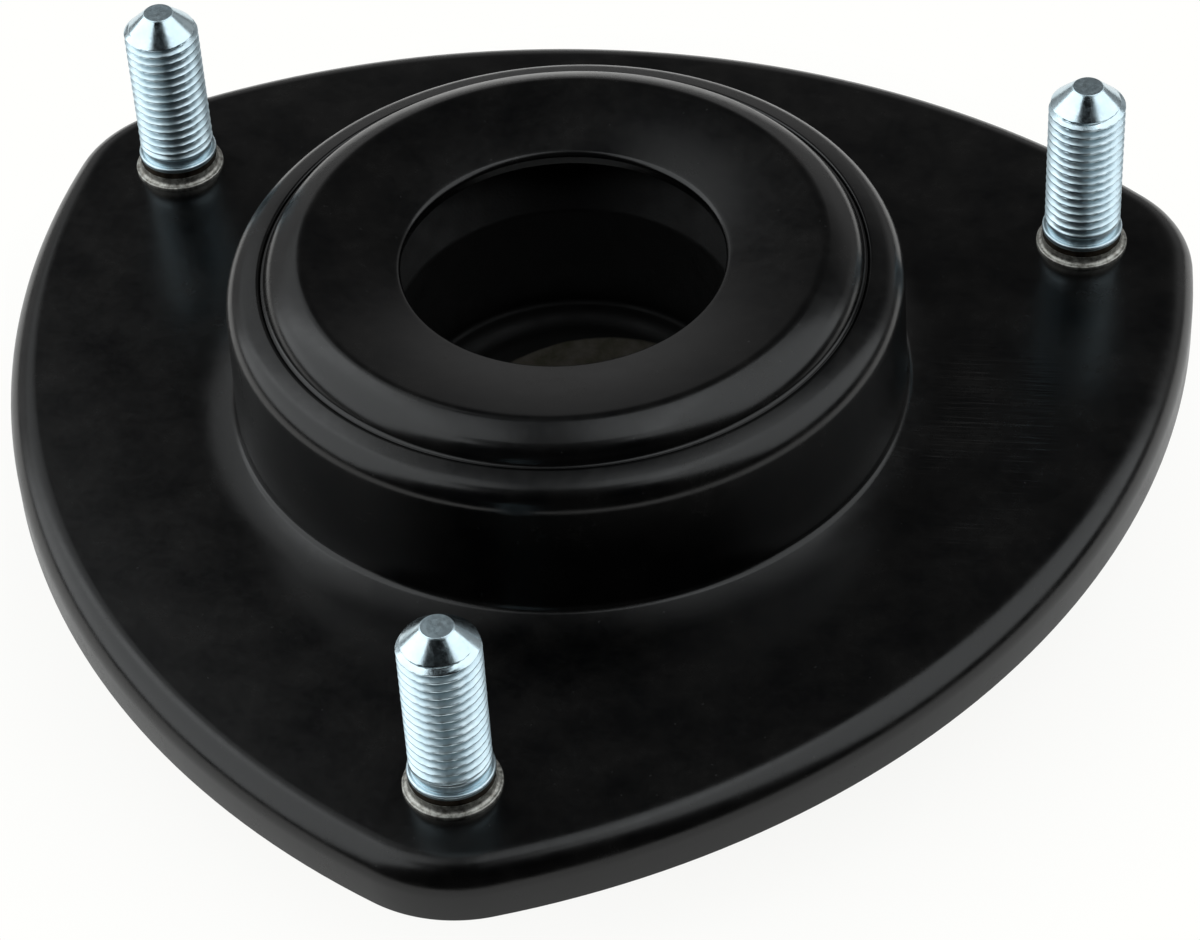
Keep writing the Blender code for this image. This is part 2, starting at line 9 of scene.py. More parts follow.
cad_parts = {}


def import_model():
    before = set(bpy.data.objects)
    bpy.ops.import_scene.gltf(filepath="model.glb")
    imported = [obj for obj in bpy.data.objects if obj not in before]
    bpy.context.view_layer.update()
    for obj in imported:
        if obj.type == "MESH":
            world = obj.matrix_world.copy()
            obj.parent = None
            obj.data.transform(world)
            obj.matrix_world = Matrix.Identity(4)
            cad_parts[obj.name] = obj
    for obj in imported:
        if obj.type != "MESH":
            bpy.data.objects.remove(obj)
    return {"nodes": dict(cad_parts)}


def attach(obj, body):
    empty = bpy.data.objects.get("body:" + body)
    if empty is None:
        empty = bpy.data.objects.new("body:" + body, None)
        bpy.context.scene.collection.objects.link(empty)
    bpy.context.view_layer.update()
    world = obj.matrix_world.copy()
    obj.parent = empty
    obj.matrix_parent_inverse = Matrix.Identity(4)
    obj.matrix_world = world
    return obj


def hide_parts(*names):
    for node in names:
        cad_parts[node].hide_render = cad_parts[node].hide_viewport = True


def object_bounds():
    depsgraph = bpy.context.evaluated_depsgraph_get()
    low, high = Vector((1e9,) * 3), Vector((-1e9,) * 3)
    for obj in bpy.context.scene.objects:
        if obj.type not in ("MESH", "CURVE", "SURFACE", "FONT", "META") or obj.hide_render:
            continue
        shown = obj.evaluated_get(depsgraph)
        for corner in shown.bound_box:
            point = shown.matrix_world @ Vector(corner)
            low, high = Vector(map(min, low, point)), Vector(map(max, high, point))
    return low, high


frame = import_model()
cad_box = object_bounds()
nodes = frame["nodes"]

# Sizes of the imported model. The bend inside the rim, the neck and its foot, the lip, the bosses and the cap's
# wall and ledge follow the photograph more closely than its solids do, by up to 1.1 mm
SHEET = 0.0026
STUD_CIRCLE_R = 0.0706
STUD_ANGLES = (-90.0, 30.0, 150.0)
CORNER_R = 0.0178
CORNER_DISTANCE = 0.0671
SIDE_R = 0.1149
RIM_DEPTH = 0.0077
RIM_INSIDE_R = 0.0012
SHEET_EDGE_R = 0.0004
NECK_R = 0.04265
NECK_TOP_R = 0.04225
NECK_HEIGHT = 0.01825
NECK_FILLET = 0.0010
FOOT_WIDTH = 0.0036
FOOT_RISE = 0.00080
FOOT_BLEND = 0.0160
LIP_INSIDE_R = 0.0007
LIP_SLOPE = 15.0
LIP_R = 0.03780
STUD_R = 0.0049
STUD_HEIGHT = 0.0255
STUD_TIP_R = 0.0019
STUD_POINT = 0.0029
COLLAR_R = 0.0052
COLLAR_Z = 0.0024
COLLAR_TOP_Z = 0.0031
SHANK_R = 0.0050
HEAD_R = 0.0080
HEAD_BASE_Z = -0.0059
BOSS_R = 0.0059
BOSS_HEIGHT = 0.00045
HOLE_R = 0.00508
STUD_HEAD_Z = -0.0029
BEARING_Z = -0.01398

# How finely the shown meshes are cut
ARC_STEP = math.radians(7.5)
RING_STEPS = 192
CORNER_STEPS = 26
SIDE_STEPS = 58
CAP_STEPS = 256
STUD_STEPS = 96
SHARP_ANGLE = math.radians(30.0)
TINY = 1e-7

# A fillet takes at most this share of a side
SIDE_SHARE = 0.95

SIDE_CENTRE = (math.sqrt(4 * (SIDE_R - CORNER_R) ** 2 - 3 * CORNER_DISTANCE**2) - CORNER_DISTANCE) / 2
SIDE_REACH = SIDE_R - SIDE_CENTRE


def left_of(direction):
    return Vector((-direction.y, direction.x))


def turn_between(arriving, leaving):
    return math.atan2(arriving.cross(leaving), arriving.dot(leaving))


def fillet(here, arriving, turn, reach):
    if reach < TINY:
        return [here]
    radius = reach / math.tan(abs(turn) / 2)
    start = here - arriving * reach
    centre = start + left_of(arriving) * math.copysign(radius, turn)
    steps = max(3, round(abs(turn) / ARC_STEP))
    return [centre + Matrix.Rotation(turn * step / steps, 2) @ (start - centre) for step in range(steps + 1)]


def rounded(corners):
    """Points of a closed outline from its corners, each (distance, height, radius)."""
    places = [Vector(corner[:2]) for corner in corners]
    sides = [after - here for here, after in zip(places, places[1:] + places[:1])]
    turns = [turn_between(sides[index - 1], side) for index, side in enumerate(sides)]
    reaches = [corner[2] * math.tan(abs(turn) / 2) for corner, turn in zip(corners, turns)]
    for index, side in enumerate(sides):
        following = (index + 1) % len(sides)
        wanted = reaches[index] + reaches[following]
        if wanted > SIDE_SHARE * side.length:
            reaches[index] *= SIDE_SHARE * side.length / wanted
            reaches[following] *= SIDE_SHARE * side.length / wanted
    points = []
    for index, here in enumerate(places):
        points += fillet(here, sides[index - 1].normalized(), turns[index], reaches[index])
    return points


def sheet_corners(path, thickness, start_edge, end_edge):
    """Closed corners of a bent sheet from its outer line, with the metal on the line's left."""
    places = [Vector(corner[:2]) for corner in path]
    upper = []
    lower = []
    for index, here in enumerate(places):
        inside = path[index][2]
        if index == 0:
            offset = left_of((places[1] - here).normalized()) * thickness
            radii = start_edge
        elif index == len(places) - 1:
            offset = left_of((here - places[index - 1]).normalized()) * thickness
            radii = end_edge
        else:
            arriving = (here - places[index - 1]).normalized()
            leaving = (places[index + 1] - here).normalized()
            turn = turn_between(arriving, leaving)
            middle = (left_of(arriving) + left_of(leaving)).normalized()
            offset = middle * (thickness / math.cos(turn / 2))
            radii = (inside + thickness, inside) if turn > 0 else (inside, inside + thickness)
        upper.append((here.x, here.y, radii[0]))
        lower.append((here.x + offset.x, here.y + offset.y, radii[1]))
    return upper + lower[::-1]


def on_circle(radius, degrees):
    angle = math.radians(degrees)
    return Vector((radius * math.cos(angle), radius * math.sin(angle)))


def mesh_object(name, builder, materials):
    bmesh.ops.recalc_face_normals(builder, faces=builder.faces)
    mesh = bpy.data.meshes.new(name)
    builder.to_mesh(mesh)
    builder.free()
    for material in materials:
        mesh.materials.append(material)
    mesh.shade_smooth()
    mesh.set_sharp_from_angle(angle=SHARP_ANGLE)
    item = bpy.data.objects.new(name, mesh)
    bpy.context.scene.collection.objects.link(item)
    return item


def spun(name, points, steps, material, closed=True):
    builder = bmesh.new()
    chain = [builder.verts.new((point.x, 0.0, point.y)) for point in points]
    edges = [builder.edges.new(pair) for pair in zip(chain, chain[1:])]
    if closed:
        edges.append(builder.edges.new((chain[-1], chain[0])))
    bmesh.ops.spin(
        builder,
        geom=chain + edges,
        cent=(0.0, 0.0, 0.0),
        axis=(0.0, 0.0, 1.0),
        angle=math.tau,
        steps=steps,
        use_merge=True,
    )
    bmesh.ops.remove_doubles(builder, verts=builder.verts, dist=TINY)
    return mesh_object(name, builder, [material])


def stand_for(item, node, body):
    """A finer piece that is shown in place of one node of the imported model."""
    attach(item, body)
    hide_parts(node)


class Shader:
    """A Principled material with short ways to add its nodes."""

    def __init__(self, name, **settings):
        self.material = bpy.data.materials.new(name)
        self.material.use_nodes = True
        self.tree = self.material.node_tree
        self.surface = self.tree.nodes["Principled BSDF"]
        self.output = self.tree.nodes["Material Output"]
        for label, value in settings.items():
            self.surface.inputs[label.replace("_", " ")].default_value = value
        self.place = self.tree.nodes.new("ShaderNodeTexCoord").outputs["Object"]

    def node(self, kind, inputs=(), **settings):
        made = self.tree.nodes.new("ShaderNode" + kind)
        for label, value in settings.items():
            setattr(made, label, value)
        for label, value in dict(inputs).items():
            if isinstance(value, bpy.types.NodeSocket):
                self.tree.links.new(value, made.inputs[label])
            else:
                made.inputs[label].default_value = value
        return made

    def noise(self, scale, detail=2.0, roughness=0.5, place=None, distortion=0.0):
        inputs = {"Scale": scale, "Detail": detail, "Roughness": roughness, "Distortion": distortion}
        inputs["Vector"] = place or self.place
        return self.node("TexNoise", inputs).outputs["Fac"]

    def stretched(self, scale, turn=0.0):
        """The place, turned about Z and then scaled along each axis."""
        turned = self.node("Mapping", {"Vector": self.place, "Rotation": (0.0, 0.0, math.radians(-turn))})
        return self.node("Mapping", {"Vector": turned.outputs["Vector"], "Scale": scale}).outputs["Vector"]

    def remap(self, value, low, high, to_low, to_high):
        inputs = {"Value": value, "From Min": low, "From Max": high, "To Min": to_low, "To Max": to_high}
        return self.node("MapRange", inputs).outputs["Result"]

    def math(self, operation, first, second=0.0):
        return self.node("Math", {0: first, 1: second}, operation=operation).outputs["Value"]

    def vector(self, operation, first, second):
        return self.node("VectorMath", {0: first, 1: second}, operation=operation).outputs["Vector"]

    def length(self, vector):
        return self.node("VectorMath", {0: vector}, operation="LENGTH").outputs["Value"]

    def blend(self, factor, first, second):
        made = self.node("Mix", data_type="RGBA")
        for socket, value in ((made.inputs[0], factor), (made.inputs[6], first), (made.inputs[7], second)):
            if isinstance(value, bpy.types.NodeSocket):
                self.tree.links.new(value, socket)
            else:
                socket.default_value = value
        return made.outputs[2]

    def bump(self, height, distance, strength=1.0, onto=None):
        inputs = {"Height": height, "Distance": distance, "Strength": strength}
        if onto is not None:
            inputs["Normal"] = onto
        return self.node("Bump", inputs).outputs["Normal"]

    def set(self, label, value):
        self.tree.links.new(value, self.surface.inputs[label])


def black_coat():
    """Thin black dip coat over pressed steel, with slight orange peel, dust and light scratches."""
    shader = Shader("black_coat", IOR=1.45)
    grain = shader.noise(900.0, 4.0, 0.6)
    mottle = shader.noise(130.0, 5.0, 0.62)
    # Fine scratches lie side by side right of the neck, on the plate's flat, and nowhere else
    patches = shader.remap(shader.noise(70.0, 3.0), 0.40, 0.55, 0.25, 1.0)
    offset = shader.vector("SUBTRACT", shader.place, (0.0535, -0.007, 0.0))
    reach = shader.length(shader.vector("MULTIPLY", offset, (1.0, 0.45, 1.0)))
    near = shader.remap(reach, 0.006, 0.012, 1.0, 0.0)
    split = shader.node("SeparateXYZ", {"Vector": shader.place})
    flat = shader.remap(split.outputs["Z"], 0.001, 0.004, 1.0, 0.0)
    worn = shader.math("MULTIPLY", shader.math("MULTIPLY", patches, near), flat)
    streaks = shader.noise(1.0, 2.0, 0.5, shader.stretched((80.0, 1900.0, 80.0), 4.0))
    rubbed = shader.math("MULTIPLY", shader.remap(streaks, 0.3, 0.7, -1.0, 1.0), worn)
    dust = shader.remap(shader.noise(1500.0, 1.0), 0.76, 0.80, 0.0, 1.0)
    dark, light = (0.0007, 0.0008, 0.0010, 1.0), (0.0030, 0.0028, 0.0026, 1.0)
    colour = shader.blend(shader.remap(mottle, 0.35, 0.65, 0.0, 1.0), dark, light)
    colour = shader.blend(shader.math("MULTIPLY", dust, 0.5), colour, (0.03, 0.03, 0.03, 1.0))
    shader.set("Base Color", colour)
    dull = shader.remap(mottle, 0.3, 0.7, 0.18, 0.26)
    dull = shader.math("ADD", dull, shader.remap(grain, 0.3, 0.7, 0.0, 0.04))
    shader.set("Roughness", shader.math("ADD", dull, shader.math("MULTIPLY", worn, 0.03)))
    peel = shader.bump(shader.noise(420.0, 2.0), 0.000012)
    fine = shader.bump(rubbed, 0.000018, onto=peel)
    shader.set("Normal", shader.bump(grain, 0.000003, onto=fine))
    return shader.material


def core_coat():
    """Matt coat on the forged core; low in the bore, below an uneven edge that rises towards +X, the coat gives
    way to pale metallic steel.
    """
    shader = Shader("core_coat", IOR=1.45)
    cloud = shader.noise(300.0, 4.0, 0.6)
    grain = shader.noise(2400.0, 3.0, 0.6)
    split = shader.node("SeparateXYZ", {"Vector": shader.place})
    # The edge slants across the bore, lying higher towards +X and +Y
    across = shader.math("MULTIPLY", split.outputs["X"], -0.165)
    across = shader.math("ADD", across, shader.math("MULTIPLY", split.outputs["Y"], -0.045))
    uneven = shader.remap(cloud, 0.3, 0.7, -0.0001, 0.0001)
    edge = shader.math("ADD", shader.math("ADD", split.outputs["Z"], across), uneven)
    bare = shader.remap(edge, -0.0094, -0.0097, 0.0, 1.0)
    coat = shader.blend(cloud, (0.0014, 0.0014, 0.0014, 1.0), (0.0040, 0.0039, 0.0037, 1.0))
    dark, light = (0.09, 0.085, 0.06, 1.0), (0.20, 0.18, 0.16, 1.0)
    steel = shader.blend(shader.remap(cloud, 0.35, 0.65, 0.0, 1.0), dark, light)
    shader.set("Base Color", shader.blend(bare, coat, steel))
    shader.set("Metallic", bare)
    shader.set("Roughness", shader.remap(cloud, 0.3, 0.7, 0.50, 0.65))
    shader.surface.inputs["Specular IOR Level"].default_value = 0.22
    shader.set("Normal", shader.bump(grain, 0.00003))
    return shader.material


def zinc_plate():
    """Bright bluish zinc plating, rolled rough on the threads and smooth on the turned point."""
    shader = Shader("zinc_plate", Metallic=1.0)
    cloud = shader.noise(500.0, 3.0)
    fine = shader.noise(1800.0, 3.0, 0.6)
    shader.set("Base Color", shader.blend(cloud, (0.50, 0.66, 0.74, 1.0), (0.72, 0.84, 0.89, 1.0)))
    height = shader.node("SeparateXYZ", {"Vector": shader.place}).outputs["Z"]
    above_thread = shader.remap(height, 0.0222, 0.0226, 0.0, 1.0)
    point = shader.math("MULTIPLY", above_thread, shader.remap(height, 0.0253, 0.0254, 1.0, 0.0))
    rough = shader.remap(fine, 0.3, 0.7, 0.28, 0.40)
    shader.set("Roughness", shader.math("SUBTRACT", rough, shader.math("MULTIPLY", point, 0.14)))
    shader.set("Normal", shader.bump(fine, 0.000002))
    return shader.material


def bare_steel():
    """Uncoated steel round each stud, with a little brown haze."""
    shader = Shader("bare_steel", Metallic=1.0)
    patch = shader.noise(1400.0, 4.0, 0.7)
    dark, light = (0.20, 0.19, 0.17, 1.0), (0.62, 0.62, 0.58, 1.0)
    shader.set("Base Color", shader.blend(shader.remap(patch, 0.35, 0.65, 0.0, 1.0), dark, light))
    shader.set("Roughness", shader.remap(patch, 0.3, 0.7, 0.35, 0.6))
    shader.set("Normal", shader.bump(patch, 0.00004))
    return shader.material


def shank_shade_steel():
    """Steel of the studs' shanks and heads, dark all over; on the shank this dark colour is painted shade,
    standing for the shade under each collar.
    """
    shader = Shader("shank_shade_steel", Metallic=1.0)
    patch = shader.noise(900.0, 4.0, 0.65)
    dark, light = (0.035, 0.026, 0.018, 1.0), (0.10, 0.08, 0.06, 1.0)
    shader.set("Base Color", shader.blend(shader.remap(patch, 0.35, 0.65, 0.0, 1.0), dark, light))
    shader.set("Roughness", shader.remap(patch, 0.3, 0.7, 0.45, 0.65))
    shader.set("Normal", shader.bump(patch, 0.00003))
    return shader.material


def turned_steel(name, dark, light, low_roughness, high_roughness):
    """Bright steel with fine turning lines round its axis."""
    shader = Shader(name, Metallic=1.0)
    cloud = shader.noise(160.0, 3.0)
    waves = {"Vector": shader.place, "Scale": 900.0, "Distortion": 1.5, "Detail": 2.0}
    lines = shader.node("TexWave", waves, wave_type="RINGS", rings_direction="Z")
    shader.set("Base Color", shader.blend(cloud, dark, light))
    shader.set("Roughness", shader.remap(cloud, 0.3, 0.7, low_roughness, high_roughness))
    shader.set("Normal", shader.bump(lines.outputs["Fac"], 0.0000015))
    return shader.material


def black_rubber():
    """Moulded rubber with a fine matt skin and a light bloom."""
    shader = Shader("black_rubber", IOR=1.5)
    cloud = shader.noise(120.0, 4.0)
    skin = shader.noise(2600.0, 3.0)
    shader.set("Base Color", shader.blend(cloud, (0.012, 0.012, 0.012, 1.0), (0.028, 0.027, 0.026, 1.0)))
    shader.set("Roughness", shader.remap(cloud, 0.3, 0.7, 0.62, 0.8))
    shader.set("Normal", shader.bump(skin, 0.00002))
    return shader.material


def cage_plastic():
    """Pale moulded plastic."""
    shader = Shader("cage_plastic", IOR=1.53)
    cloud = shader.noise(200.0, 3.0)
    shader.set("Base Color", shader.blend(cloud, (0.50, 0.43, 0.28, 1.0), (0.62, 0.55, 0.38, 1.0)))
    shader.set("Roughness", shader.remap(cloud, 0.3, 0.7, 0.4, 0.55))
    shader.set("Normal", shader.bump(shader.noise(3000.0, 2.0), 0.00001))
    return shader.material


COAT = black_coat()
CORE_COAT = core_coat()
ZINC = zinc_plate()
STEEL = bare_steel()
# Painted shade: dark steel standing for the shade under the studs' collars
SHANK_SHADE = shank_shade_steel()
BRIGHT = turned_steel("bearing_steel", (0.50, 0.50, 0.49, 1.0), (0.66, 0.66, 0.65, 1.0), 0.16, 0.28)
OILED = turned_steel("oiled_steel", (0.20, 0.19, 0.18, 1.0), (0.34, 0.33, 0.31, 1.0), 0.32, 0.48)
RUBBER = black_rubber()
CAGE = cage_plastic()


def plate_outline(inset):
    """Points of the plate's three-sided outline, moved inwards by the inset."""
    points = []
    for corner in STUD_ANGLES:
        centre = on_circle(CORNER_DISTANCE, corner)
        before = centre - on_circle(SIDE_CENTRE, corner + 120.0)
        after = centre - on_circle(SIDE_CENTRE, corner - 120.0)
        start = math.atan2(before.y, before.x)
        sweep = turn_between(before.normalized(), after.normalized())
        for step in range(CORNER_STEPS + 1):
            angle = math.degrees(start + sweep * step / CORNER_STEPS)
            points.append(centre + on_circle(CORNER_R - inset, angle))
        side_centre = on_circle(SIDE_CENTRE, corner - 120.0)
        next_corner = on_circle(CORNER_DISTANCE, corner + 120.0) - side_centre
        sweep = turn_between(after.normalized(), next_corner.normalized())
        start = math.atan2(after.y, after.x)
        for step in range(1, SIDE_STEPS):
            angle = math.degrees(start + sweep * step / SIDE_STEPS)
            points.append(side_centre + on_circle(SIDE_R - inset, angle))
    return points


def stud_rings(name, corners, materials, steps=STUD_STEPS):
    """The same turned ring at each stud, in one hidden helper."""
    builder = bmesh.new()
    points = rounded(corners)
    for place in STUD_ANGLES:
        centre = on_circle(STUD_CIRCLE_R, place)
        loops = []
        for step in range(steps):
            around = on_circle(1.0, 360.0 * step / steps)
            ring = [(centre.x + around.x * p.x, centre.y + around.y * p.x, p.y) for p in points]
            loops.append([builder.verts.new(corner) for corner in ring])
        for loop, following in zip(loops, loops[1:] + loops[:1]):
            for index in range(len(points)):
                beyond = (index + 1) % len(points)
                builder.faces.new((loop[index], following[index], following[beyond], loop[beyond]))
    item = mesh_object(name, builder, materials)
    item.hide_render = True
    item.hide_viewport = True
    return item


def stud_cylinder(name, radius, low, high, materials, steps=STUD_STEPS):
    builder = bmesh.new()
    for place in STUD_ANGLES:
        centre = on_circle(STUD_CIRCLE_R, place)
        bmesh.ops.create_cone(
            builder,
            cap_ends=True,
            segments=steps,
            radius1=radius,
            radius2=radius,
            depth=high - low,
            matrix=Matrix.Translation((centre.x, centre.y, (low + high) / 2)),
        )
    return mesh_object(name, builder, materials)


def apply_boolean(item, former, operation):
    modifier = item.modifiers.new("shape", "BOOLEAN")
    modifier.operation = operation
    modifier.object = former
    modifier.material_mode = "TRANSFER"
    graph = bpy.context.evaluated_depsgraph_get()
    shaped = bpy.data.meshes.new_from_object(item.evaluated_get(graph))
    item.modifiers.clear()
    item.data = shaped
    bpy.data.objects.remove(former, do_unlink=True)


def mounting_plate():
    lip_z = NECK_HEIGHT + (NECK_TOP_R - LIP_R) * math.tan(math.radians(LIP_SLOPE))
    rim_edge = (0.00025, 0.00025)
    lip_edge = (0.0004, SHEET_EDGE_R)
    path = [
        (SIDE_REACH, -RIM_DEPTH, 0.0),
        (SIDE_REACH, 0.0, RIM_INSIDE_R),
        (NECK_R + FOOT_WIDTH, 0.0, FOOT_BLEND),
        (NECK_R, FOOT_RISE, NECK_FILLET),
        (NECK_TOP_R, NECK_HEIGHT, LIP_INSIDE_R),
        (LIP_R, lip_z, 0.0),
    ]
    corners = sheet_corners(path, SHEET, rim_edge, lip_edge)
    # The lip's end is cut upright
    corners[len(path)] = (LIP_R, *corners[len(path)][1:])
    section = rounded(corners)
    round_below = (SIDE_REACH + NECK_R + FOOT_WIDTH) / 2
    bearings = [point.normalized() for point in plate_outline(0.0)]
    count = len(bearings)
    builder = bmesh.new()
    loops = []
    for distance, height in section:
        if distance > round_below:
            places = plate_outline(SIDE_REACH - distance)
        else:
            places = [bearing * distance for bearing in bearings]
        loops.append([builder.verts.new((place.x, place.y, height)) for place in places])
    for loop, following in zip(loops, loops[1:] + loops[:1]):
        for index in range(count):
            beyond = (index + 1) % count
            builder.faces.new((loop[index], loop[beyond], following[beyond], following[index]))
    plate = mesh_object("coated_plate", builder, [COAT, STEEL])
    # A bare ring whose inner edge is drawn up against the stud
    ring_top_z = 0.0015
    inner_r = HOLE_R - 0.0003
    drawn_r = HOLE_R + 0.0001
    boss = [
        (inner_r, -SHEET / 2, 0.0),
        (BOSS_R, -SHEET / 2, 0.0),
        (BOSS_R, BOSS_HEIGHT, 0.00024),
        (drawn_r, BOSS_HEIGHT + 0.00005, 0.0006),
        (drawn_r, ring_top_z, 0.0),
        (inner_r, ring_top_z, 0.0),
    ]
    apply_boolean(plate, stud_rings("boss_former", boss, [STEEL]), "UNION")
    apply_boolean(plate, stud_cylinder("hole_former", HOLE_R, -2 * SHEET, 2 * SHEET, [STEEL]), "DIFFERENCE")
    plate.data.shade_smooth()
    plate.data.set_sharp_from_angle(angle=SHARP_ANGLE)
    stand_for(plate, "mounting_plate", "mount")


def dome_cap():
    sheet = 0.0022
    flange_r = 0.03935
    flange_z = 0.0161
    wall_r = 0.03670
    ledge_r = 0.03770
    ledge_z = 0.01920
    opening_edge = (0.0007, SHEET_EDGE_R)
    path = [
        (flange_r, flange_z, 0.0),
        (wall_r, flange_z, 0.0004),
        (wall_r, 0.020728, 0.0012),
        (0.034467, 0.022017, 0.0108),
        (0.032641, 0.022610, 0.0001),
        (0.0264, 0.021690, 0.0900),
        (0.0201, 0.019980, 0.0),
    ]
    corners = sheet_corners(path, sheet, (LIP_INSIDE_R, 0.0), opening_edge)
    # The ledge between lip and wall takes the place of the path's plain foot
    ledge = [(ledge_r, flange_z, 0.0), (ledge_r, ledge_z - 0.00005, 0.00015), (0.03730, ledge_z, 0.00080)]
    points = rounded(corners[:1] + ledge + corners[2:])
    stand_for(spun("coated_cap", points, CAP_STEPS, COAT), "dome_cap", "mount")


def core():
    wall_inner_r, wall_r = 0.0216, 0.0240
    spigot_bore_r, spigot_r = 0.0176, 0.0198
    flange_r = 0.03232
    seat_z = -0.0060
    flange_z, base_z = -0.0055, -0.0085
    spigot_end_z = -0.01458
    corners = [
        (0.0256, 0.0146, 0.0004),
        (wall_inner_r, 0.0095, 0.0012),
        (wall_inner_r, seat_z, 0.0008),
        (spigot_bore_r, seat_z, 0.0027),
        (spigot_bore_r, spigot_end_z, 0.0004),
        (spigot_r, spigot_end_z, 0.0002),
        (spigot_r, base_z, 0.0),
        (flange_r, base_z, 0.0003),
        (flange_r, flange_z, 0.0004),
        (wall_r, flange_z, 0.0008),
        (wall_r, 0.0086594, 0.0),
        (0.0274895, 0.0131084, 0.0004),
    ]
    stand_for(spun("coated_core", rounded(corners), RING_STEPS, CORE_COAT), "core", "mount")


def threaded_stud(name):
    """One stud with a rolled M10 x 1.25 thread, whose groove runs out at both ends."""
    pitch = 0.00125
    depth = 0.00070
    around = 64
    relief_top = 0.0044
    thread_low = 0.0049
    thread_high = STUD_HEIGHT - 0.0012
    relief_depth = 0.0003
    row_height = 0.0000625
    fade = 0.0006
    # Shares of the pitch: half of the groove's mouth, and one flank
    half_mouth = 0.44
    flank = 0.34
    shoulder = [
        (0.0, HEAD_BASE_Z, 0.0),
        (HEAD_R, HEAD_BASE_Z, 0.0009),
        (HEAD_R, STUD_HEAD_Z, 0.0003),
        (SHANK_R, STUD_HEAD_Z, 0.0),
        (SHANK_R, COLLAR_Z, 0.0),
        (COLLAR_R, COLLAR_Z, 0.0002),
        (COLLAR_R, COLLAR_TOP_Z, 0.0003),
        (STUD_R - relief_depth, COLLAR_TOP_Z, 0.0001),
        (STUD_R - relief_depth, relief_top - relief_depth, 0.0001),
        (STUD_R, relief_top, 0.0),
        (STUD_R, STUD_HEIGHT - STUD_POINT, 0.0002),
        (STUD_TIP_R, STUD_HEIGHT, 0.00015),
        (0.0, STUD_HEIGHT, 0.0),
    ]
    outline = rounded(shoulder)
    rows = []
    for here, after in zip(outline, outline[1:]):
        rows.append(here)
        length = (after - here).length
        if here.y >= relief_top - TINY and after.y > here.y + TINY:
            pieces = max(1, math.ceil(length / row_height))
            rows += [here.lerp(after, piece / pieces) for piece in range(1, pieces)]
    rows.append(outline[-1])
    builder = bmesh.new()
    loops = []
    for row in rows:
        if row.x < TINY:
            loops.append([builder.verts.new((0.0, 0.0, row.y))])
            continue
        loop = []
        for step in range(around):
            share = (row.y / pitch - step / around) % 1.0
            groove = min(1.0, max(0.0, (half_mouth - abs(share - 0.5)) / flank))
            fade_in = min(1.0, max(0.0, (row.y - thread_low + 0.0004) / fade))
            fade_out = min(1.0, max(0.0, (thread_high - row.y) / fade))
            core_r = STUD_R - depth * groove * fade_in * fade_out
            row_r = min(row.x, core_r) if relief_top < row.y < thread_high else row.x
            corner = on_circle(row_r, 360.0 * step / around)
            loop.append(builder.verts.new((corner.x, corner.y, row.y)))
        loops.append(loop)
    for lower, upper in zip(loops, loops[1:]):
        if len(lower) == 1 or len(upper) == 1:
            tip, ring = (lower[0], upper) if len(lower) == 1 else (upper[0], lower)
            for index in range(around):
                builder.faces.new((tip, ring[index], ring[(index + 1) % around]))
            continue
        for index in range(around):
            beyond = (index + 1) % around
            builder.faces.new((lower[index], lower[beyond], upper[beyond], upper[index]))
    # The shank under the collar is painted dark, as painted shade under the collar
    for face in builder.faces:
        if face.calc_center_median().z < COLLAR_Z + TINY:
            face.material_index = 1
    return mesh_object(name, builder, [ZINC, SHANK_SHADE])


def studs():
    first = threaded_stud("threaded_stud_1")
    for number, angle in enumerate(STUD_ANGLES, start=1):
        stud = first if number == 1 else bpy.data.objects.new(f"threaded_stud_{number}", first.data)
        if number > 1:
            bpy.context.scene.collection.objects.link(stud)
        stud.location = on_circle(STUD_CIRCLE_R, angle).to_3d()
        stud.rotation_euler.z = math.radians(angle)
        stand_for(stud, f"stud_{number}", "mount")


def outer_sleeve():
    wall = 0.0016
    sleeve_r, flange_r = 0.03935, 0.04785
    flange_z, top_z = -0.0029, 0.0136
    path = [(flange_r, flange_z, 0.0), (sleeve_r, flange_z, 0.0044), (sleeve_r, top_z, 0.0)]
    points = rounded(sheet_corners(path, wall, (0.0004, 0.0004), (0.0003, 0.0003)))
    stand_for(spun("pressed_sleeve", points, RING_STEPS, OILED), "outer_sleeve", "mount")


def isolator():
    inner_r, outer_r = 0.0243, 0.03745
    skin_r, flare_r = 0.03615, 0.027725
    foot_z, lower_groove_z = -0.0052, 0.0033
    top_z, upper_groove_z = 0.0124, 0.0062
    skin_low_z = 0.0015
    corners = [
        (inner_r, foot_z, 0.0008),
        (0.03102, foot_z, 0.0006),
        (0.03269, lower_groove_z, 0.0012),
        (0.03509, lower_groove_z, 0.0012),
        (skin_r, skin_low_z, 0.0003),
        (outer_r, skin_low_z, 0.0),
        (outer_r, top_z, 0.0),
        (skin_r, top_z, 0.0003),
        (0.03495, upper_groove_z, 0.0012),
        (flare_r, upper_groove_z, 0.0012),
        (flare_r, 0.0129233, 0.0),
        (inner_r, 0.0085560, 0.0),
    ]
    rubber = spun("moulded_isolator", rounded(corners), RING_STEPS, RUBBER)
    stand_for(rubber, "isolator", "mount")


def groove_points(side, pitch_r, radius, land):
    """Section of a ball groove, above the balls (side 1) or below them (side -1)."""
    half = math.asin(land / radius)
    sweep = math.pi - 2 * half
    steps = 24
    return [
        (
            pitch_r + radius * math.cos(half + sweep * step / steps),
            BEARING_Z + side * radius * math.sin(half + sweep * step / steps),
            0.0,
        )
        for step in range(steps + 1)
    ]


